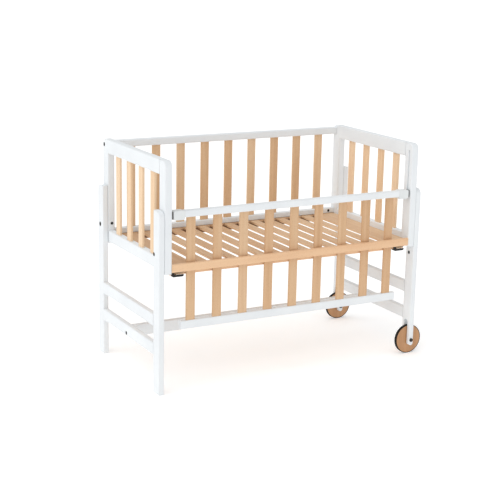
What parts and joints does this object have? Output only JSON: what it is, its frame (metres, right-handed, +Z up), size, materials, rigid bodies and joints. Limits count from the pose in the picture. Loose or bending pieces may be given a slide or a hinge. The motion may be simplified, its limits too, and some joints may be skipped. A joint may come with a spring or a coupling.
{
  "type": "bedside cradle",
  "caption": "Slatted bedside cradle with a slatted mattress base, a front side that slides down beside a bed, plain legs at one end and wheels at the other.",
  "frame": {"origin": "middle of the footprint of the whole object, wheels included, on the floor", "axes": "+X along the cradle from the plain legs to the wheels, +Y from the lowering front side to the back, +Z up"},
  "size_m": [1.0536, 0.5206, 0.7705],
  "materials": {
    "white_paint": "satin white paint on solid wood",
    "beech": "clear matt lacquer on beech",
    "wheel_wood": "clear satin lacquer on darker beech",
    "tyre_rubber": "matt black rubber",
    "white_plastic": "fine white moulding",
    "black_steel": "black coated steel"
  },
  "bodies": {
    "frame": {"left_front_stile": "white_paint", "left_rear_stile": "white_paint", "left_end_top_rail": "white_paint", "left_end_foot_rail": "white_paint", "left_end_slat_1": "beech", "left_end_slat_2": "beech", "left_end_slat_3": "beech", "left_end_slat_4": "beech", "right_front_stile": "white_paint", "right_rear_stile": "white_paint", "right_end_top_rail": "white_paint", "right_end_foot_rail": "white_paint", "right_end_slat_1": "beech", "right_end_slat_2": "beech", "right_end_slat_3": "beech", "right_end_slat_4": "beech", "left_front_leg": "white_paint", "left_rear_leg": "white_paint", "left_middle_cross_rail": "white_paint", "left_lower_cross_rail": "white_paint", "right_front_leg": "white_paint", "right_rear_leg": "white_paint", "right_middle_cross_rail": "white_paint", "right_lower_cross_rail": "white_paint", "floor_stretcher": "white_paint", "back_top_rail": "white_paint", "back_foot_rail": "white_paint", "back_slat_1": "beech", "back_slat_2": "beech", "back_slat_3": "beech", "back_slat_4": "beech", "back_slat_5": "beech", "back_slat_6": "beech", "back_slat_7": "beech", "back_slat_8": "beech", "back_slat_9": "beech", "base_front_rail": "beech", "base_rear_rail": "beech", "slat_deck": "beech", "left_stop_bracket": "black_steel", "right_stop_bracket": "black_steel", "front_axle_bolt": "black_steel", "rear_axle_bolt": "black_steel"},
    "drop_side": {"drop_top_rail": "white_paint", "drop_foot_rail": "white_paint", "drop_slat_1": "beech", "drop_slat_2": "beech", "drop_slat_3": "beech", "drop_slat_4": "beech", "drop_slat_5": "beech", "drop_slat_6": "beech", "drop_slat_7": "beech", "drop_slat_8": "beech", "drop_slat_9": "beech", "drop_left_catch": "white_plastic", "drop_right_catch": "white_plastic"},
    "front_wheel": {"front_wheel_disc": "wheel_wood", "front_wheel_tyre": "tyre_rubber"},
    "rear_wheel": {"rear_wheel_disc": "wheel_wood", "rear_wheel_tyre": "tyre_rubber"}
  },
  "joints": [
    {"name": "drop_side_slide", "type": "slide", "parent": "frame", "child": "drop_side", "axis": [0, 0, 1], "range_m": [0, 0.15]},
    {"name": "front_wheel_spin", "type": "hinge", "parent": "frame", "child": "front_wheel", "pos_m": [0.4738, -0.2345, 0.053], "axis": [0, 1, 0], "continuous": true},
    {"name": "rear_wheel_spin", "type": "hinge", "parent": "frame", "child": "rear_wheel", "pos_m": [0.4738, 0.2345, 0.053], "axis": [0, 1, 0], "continuous": true}
  ]
}
